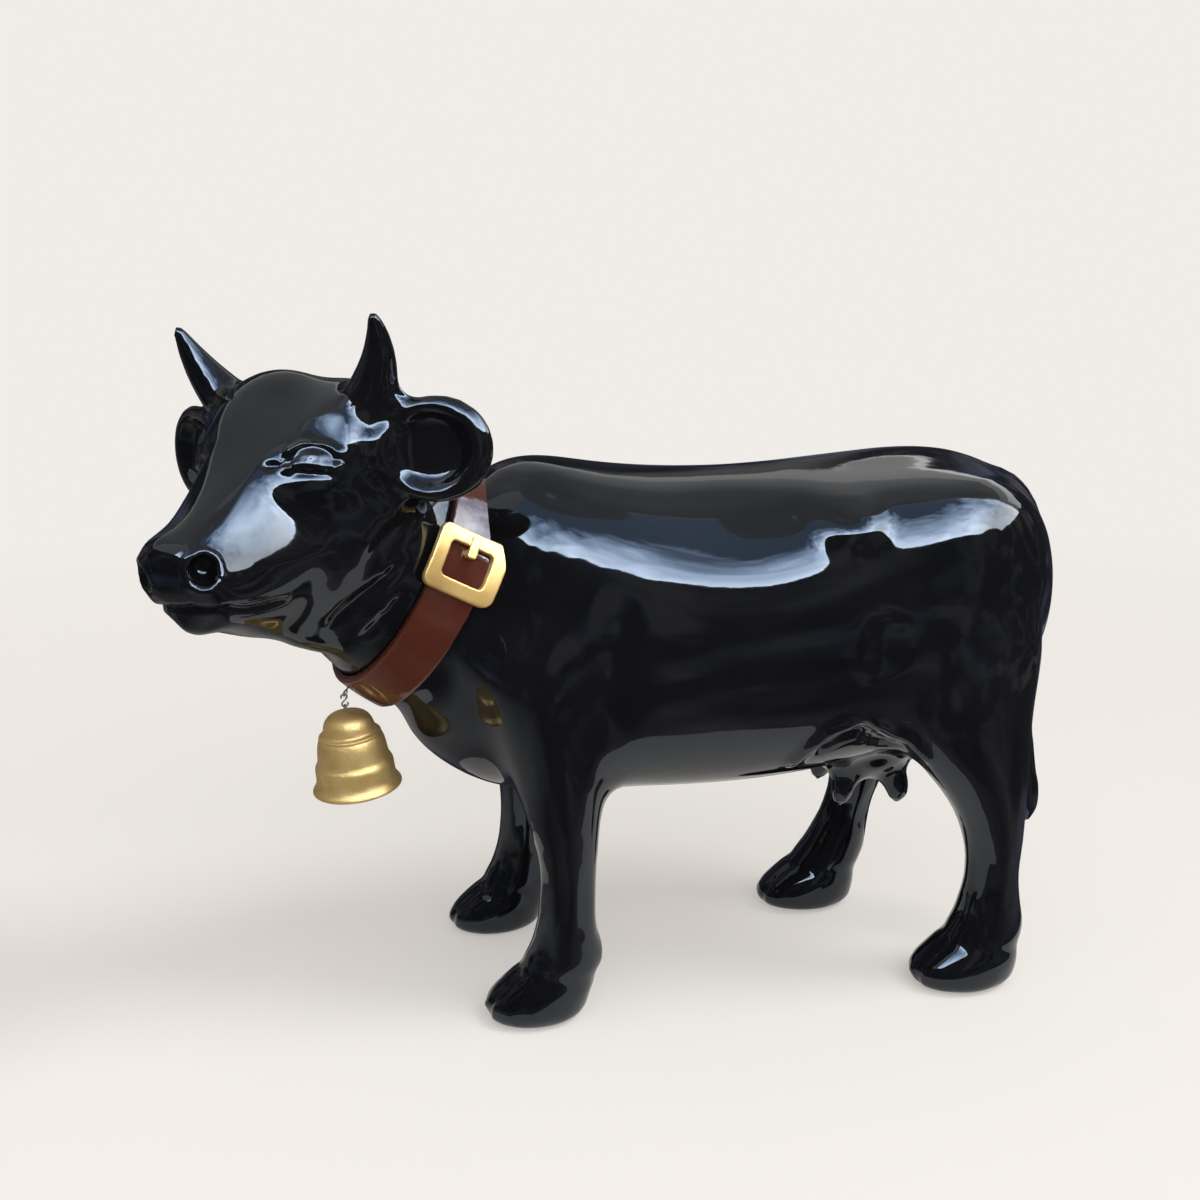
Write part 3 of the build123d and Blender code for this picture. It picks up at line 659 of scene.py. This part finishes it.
def next_ring(rise, spread, middle=(0, 0, 0)):
    """Draws the open edge of a round shape up by a rise, and makes the new ring wider or narrower."""
    bpy.ops.mesh.extrude_edges_move(TRANSFORM_OT_translate={"value": (0, 0, rise)})
    bpy.ops.transform.resize(value=(spread, spread, 1), center_override=middle)


bpy.ops.object.select_all(action="DESELECT")
bpy.ops.mesh.primitive_circle_add(vertices=72, radius=bell_rows[0][1] / 1000)
bell = bpy.context.active_object
bell.name = "bell"
bpy.ops.object.mode_set(mode="EDIT")
bpy.ops.mesh.select_all(action="SELECT")
for (low, wide), (high, narrow) in zip(bell_rows[:-1], bell_rows[1:]):
    next_ring((high - low) / 1000, narrow / wide)
bpy.ops.mesh.select_all(action="SELECT")
bpy.ops.mesh.normals_make_consistent(inside=False)
bpy.ops.object.mode_set(mode="OBJECT")
work(bell, "SOLIDIFY", thickness=0.0012, offset=-1)
work(bell, "SUBSURF", levels=1, render_levels=1)
bell.rotation_euler = bell_lean.to_track_quat("Z", "Y").to_euler()
bell.location = bell_lip
bpy.ops.object.transform_apply(location=True, rotation=True, scale=True)
bell_gold, place, shader = coating("bell_gold", Metallic=0.8)
grain = place.noise(2600, 3)
drift = place.noise(90, 3)
flecks = (drift * 0.6 + grain * 0.4).between(0.35, 0.65)
plug(
    shader,
    Base_Color=flecks.blend((0.52, 0.34, 0.12, 1), (0.76, 0.54, 0.22, 1)),
    Roughness=0.30 + grain * 0.20,
    Normal=(grain + drift * 0.6 + place.noise(420, 2) * 0.8).bump(0.30, 0.0005),
)
dress(bell, bell_gold, "bell", "bell_shell", slot="gold_bell")


# Wire: the eye under the collar, the hook, the loop on the bell and the clapper's hanger are bent from
# one thin steel wire. Each hangs in the loop before it.
def coat(name, paint):
    """Gives a solid that stays as it is its finish."""
    solid = frame["nodes"][name]
    solid.data.materials.clear()
    solid.data.materials.append(paint)


steel_wire, place, shader = coating("steel_wire", Metallic=1.0)
drift = place.noise(500, 2)
plug(
    shader,
    Base_Color=drift.blend((0.42, 0.41, 0.40, 1), (0.62, 0.61, 0.60, 1)),
    Roughness=0.22 + drift * 0.16,
    Normal=place.noise(2200, 2).bump(0.10, 0.0002),
)
for wire in ("bell_eye", "bell_hook", "bell_stem", "clapper_wire"):
    coat(wire, steel_wire)


# Clapper: a small dark iron ball that is cast round the end of its wire. It hangs in the bell and
# swings against the wall.
clapper_iron, place, shader = coating("clapper_iron", Metallic=0.8)
drift = place.noise(700, 3)
plug(
    shader,
    Base_Color=drift.blend((0.05, 0.046, 0.042, 1), (0.11, 0.10, 0.09, 1)),
    Roughness=0.42 + drift * 0.25,
    Normal=drift.bump(0.30, 0.0005),
)
coat("clapper_ball", clapper_iron)


# Paper: a pale sheet that turns up into a backdrop all round. A camera and the gloss of the lacquer see
# its colour, and part of the light on it is real, so the shadow of the animal stays.
paper_colour = (0.871, 0.838, 0.799, 1)


def looks(start):
    """One for a ray of the camera, the gloss or glass, and nought for the light on other things."""
    kinds = ("Is Camera Ray", "Is Glossy Ray", "Is Transmission Ray")
    camera_ray, gloss_ray, glass_ray = (start.node("ShaderNodeLightPath", output=kind) for kind in kinds)
    return camera_ray + gloss_ray + glass_ray


bpy.ops.object.select_all(action="DESELECT")
bpy.ops.mesh.primitive_circle_add(vertices=96, radius=2.4, fill_type="NGON")
paper = bpy.context.active_object
paper.name = "paper"
bpy.ops.object.mode_set(mode="EDIT")
bpy.ops.mesh.select_all(action="SELECT")
for rise, spread in ((0.06, 1.12), (0.18, 1.09), (0.34, 1.06), (0.5, 1.03), (0.7, 1.01)):
    next_ring(rise, spread)
bpy.ops.object.mode_set(mode="OBJECT")
bpy.ops.object.shade_smooth()
pale_paper, place = bare_material("pale_paper")
lit = place.node("ShaderNodeBsdfDiffuse", None, {"Color": paper_colour})
seen = place.node("ShaderNodeEmission", None, {"Color": paper_colour, "Strength": 1.0})
away = place.node("ShaderNodeVectorMath", {"operation": "LENGTH"}, {0: place}, "Value")
part_seen = looks(place) * (0.42 + 0.58 * away.between(0.45, 1.1))
sheet = place.node("ShaderNodeMixShader", None, {0: part_seen, 1: lit, 2: seen})
place.node("ShaderNodeOutputMaterial", None, {"Surface": sheet})
paper.data.materials.append(pale_paper)


# Dark cloth: lies round the paper's edge and stands up to the window's sill, and shows only in the gloss.
# No lamp lights it, and it glows by its own colours: painted light and shade of loose folds, blue
# and warm tints of light on them, and a painted paler end at the left.
def gloss_only(screen, paint):
    """Leaves a screen to the reflections alone."""
    screen.data.materials.append(paint)
    screen.visible_camera = False
    screen.visible_diffuse = False
    screen.visible_shadow = False
    screen.visible_transmission = False


def shine(place, colour, level):
    """Gives a bare material its light."""
    light = place.node("ShaderNodeEmission", None, {"Color": colour, "Strength": level})
    place.node("ShaderNodeOutputMaterial", None, {"Surface": light})


def part_of(place, axis):
    """One coordinate of a place."""
    return place.node("ShaderNodeSeparateXYZ", None, {"Vector": place}, axis)


bpy.ops.object.select_all(action="DESELECT")
bpy.ops.mesh.primitive_circle_add(vertices=96, radius=1)
cloth = bpy.context.active_object
cloth.name = "dark_cloth"
cloth.scale = (0.178, 0.132, 1)
cloth.location = (0.042, 0.016, 0.002)
bpy.ops.object.transform_apply(location=True, rotation=False, scale=True)
bpy.ops.object.mode_set(mode="EDIT")
bpy.ops.mesh.select_all(action="SELECT")
for rise, spread in ((0.02, 3.2), (0.12, 1.6), (0.30, 1.15), (0.24, 1.02)):
    next_ring(rise, spread, middle=(0, 0.016, 0))
bpy.ops.object.mode_set(mode="OBJECT")
bpy.ops.object.shade_smooth()
dark_cloth, place = bare_material("dark_cloth")
tall = place.node("ShaderNodeMapping", None, {"Vector": place, "Scale": (1.0, 1.0, 0.35)})
# Painted light and shade of loose folds, which the cloth's shape does not have
fold_shading = tall.noise(5.0, 4).between(0.48, 0.64)
# Painted blue and warm tints of light on the folds
tints = tall.noise(2.5, 2).between(0.40, 0.60).blend((0.08, 0.13, 0.28, 1), (0.26, 0.235, 0.22, 1))
across = part_of(place, "X")
low_edge = part_of(place, "Z").between(0.02, 0.008)
# A painted patch of paler light at the left end, low down
painted_light_end = across.between(-0.12, -0.18) * across.between(-0.50, -0.32) * low_edge
shine(place, painted_light_end.blend(fold_shading.blend((0.03, 0.032, 0.04, 1), tints), (0.42, 0.40, 0.38, 1)), 1.0)
gloss_only(cloth, dark_cloth)


# Window: a long pane before the animal, bright over its sill and bluer towards the top, a small one at
# the side, a dim ceiling and rear wall, and a low pale pane behind. Only the gloss shows them, and the
# lamps below give their light.
def pane(label, turn, half_wide, heights):
    """A curved pane that stands round the animal. Its ends and heights are in degrees, seen from there."""
    away = 1.3
    eye_level = 0.17
    heights = [math.radians(height) for height in heights]
    bpy.ops.object.select_all(action="DESELECT")
    bpy.ops.mesh.primitive_circle_add(vertices=120, radius=away * math.cos(heights[0]))
    screen = bpy.context.active_object
    screen.name = label
    bpy.ops.object.mode_set(mode="EDIT")
    bpy.ops.mesh.select_all(action="DESELECT")
    bpy.ops.object.mode_set(mode="OBJECT")
    for point in screen.data.vertices:
        point.co.z = eye_level + away * math.sin(heights[0])
        aside = math.degrees(math.atan2(point.co.x, -point.co.y)) - turn
        point.select = abs((aside + 180) % 360 - 180) > half_wide
    bpy.ops.object.mode_set(mode="EDIT")
    bpy.ops.mesh.delete(type="VERT")
    bpy.ops.mesh.select_all(action="SELECT")
    for below, above in zip(heights[:-1], heights[1:]):
        next_ring(away * (math.sin(above) - math.sin(below)), math.cos(above) / math.cos(below))
    bpy.ops.object.mode_set(mode="OBJECT")
    bpy.ops.object.shade_smooth()
    return screen


front_pane = pane("front_pane", turn=15, half_wide=85, heights=(21, 27, 33, 40, 48, 56, 64, 73))
front_glass, place = bare_material("front_glass")
cloud = part_of(place, "Z") + place.noise(2.4, 3) * 0.4 + place.noise(8.0, 4) * 0.3 - 0.35
bright = cloud.between(1.28, 0.70)
far_end = part_of(place, "X").between(0.85, 1.05)
sky = bright.blend((0.55, 0.72, 1.0, 1), (1.0, 0.99, 0.98, 1))
shine(place, sky, 1.0 + bright * (24.0 - far_end * 17.5))
gloss_only(front_pane, front_glass)

side_pane = pane("side_pane", turn=52, half_wide=20, heights=(7, 11, 15, 21))
side_glass, place = bare_material("side_glass")
mist = place.noise(5.0, 3).between(0.35, 0.65)
shine(place, mist.blend((0.60, 0.74, 1.0, 1), (1.0, 1.0, 1.0, 1)), 2.0 + mist * 6.0)
gloss_only(side_pane, side_glass)

# The ceiling and rear wall: no lamp lights them, and they glow with a painted dim grey, blotched at random
dim_ceiling, place = bare_material("dim_ceiling")
clouding = place.noise(1.2, 2).between(0.35, 0.65)
shine(place, clouding.blend((0.34, 0.335, 0.33, 1), (0.62, 0.61, 0.60, 1)), 1.0)
gloss_only(pane("ceiling", turn=0, half_wide=181, heights=(72, 78, 83, 88)), dim_ceiling)
gloss_only(pane("rear_wall", turn=180, half_wide=80, heights=(36, 45, 54, 63, 72)), dim_ceiling)

rear_pane = pane("rear_pane", turn=180, half_wide=75, heights=(20, 25, 30))
rear_glass, place = bare_material("rear_glass")
shine(place, (1.0, 0.98, 0.96, 1), 2.2)
gloss_only(rear_pane, rear_glass)


# Light: one long window before the animal, a dim blue skylight over it, a soft light from the right
# that throws the shadow, and the pale room around.
def window(label, turn, height, away, wide, high, level, colour):
    """A soft area lamp that looks at the animal's middle. Its turn and height are in degrees."""
    lamp = bpy.data.lights.new(label, "AREA")
    lamp.shape = "RECTANGLE"
    lamp.size = wide
    lamp.size_y = high
    lamp.energy = level * math.pi * wide * high
    lamp.color = colour
    holder = bpy.data.objects.new(label, lamp)
    bpy.context.scene.collection.objects.link(holder)
    turn = math.radians(turn)
    height = math.radians(height)
    way = Vector((math.sin(turn) * math.cos(height), -math.cos(turn) * math.cos(height), math.sin(height)))
    holder.location = Vector((0, 0.016, 0.17)) + way * away
    holder.rotation_euler = way.to_track_quat("Z", "Y").to_euler()
    holder.visible_camera = False
    holder.visible_glossy = False


window(
    "long_window", turn=14, height=36, away=1.25, wide=1.6, high=0.5, level=3.1, colour=(1.0, 0.98, 0.97)
)
window(
    "skylight", turn=5, height=66, away=1.35, wide=1.7, high=0.75, level=0.65, colour=(0.75, 0.87, 1.0)
)
side_light = bpy.data.lights.new("side_light", "SUN")
side_light.energy = 1.42
side_light.angle = math.radians(25)
side_light_way = Vector((0.586, -0.190, 0.788))
side_lamp = bpy.data.objects.new("side_light", side_light)
bpy.context.scene.collection.objects.link(side_lamp)
side_lamp.rotation_euler = side_light_way.to_track_quat("Z", "Y").to_euler()
side_lamp.visible_glossy = False
room = bpy.data.worlds.new("room")
bpy.context.scene.world = room
room.use_nodes = True
room.node_tree.nodes.clear()
start = Lead(room.node_tree, None)
room_level = looks(start) * 0.55 + 0.45
pale_room = start.node("ShaderNodeBackground", None, {"Color": paper_colour, "Strength": room_level})
start.node("ShaderNodeOutputWorld", None, {"Surface": pale_room})


# Camera: stands where the photograph was taken, before the animal's left shoulder and a little over its
# back, and looks slightly down.
lens = bpy.data.cameras.new("camera")
lens.lens = 42
lens.sensor_width = 36
camera = bpy.data.objects.new("camera", lens)
camera.location = (-0.1076, -0.5591, 0.3204)
camera.rotation_euler = (math.radians(75.5), 0, math.radians(-9.06))
bpy.context.scene.collection.objects.link(camera)
bpy.context.scene.camera = camera
bpy.context.scene.view_settings.view_transform = "Standard"
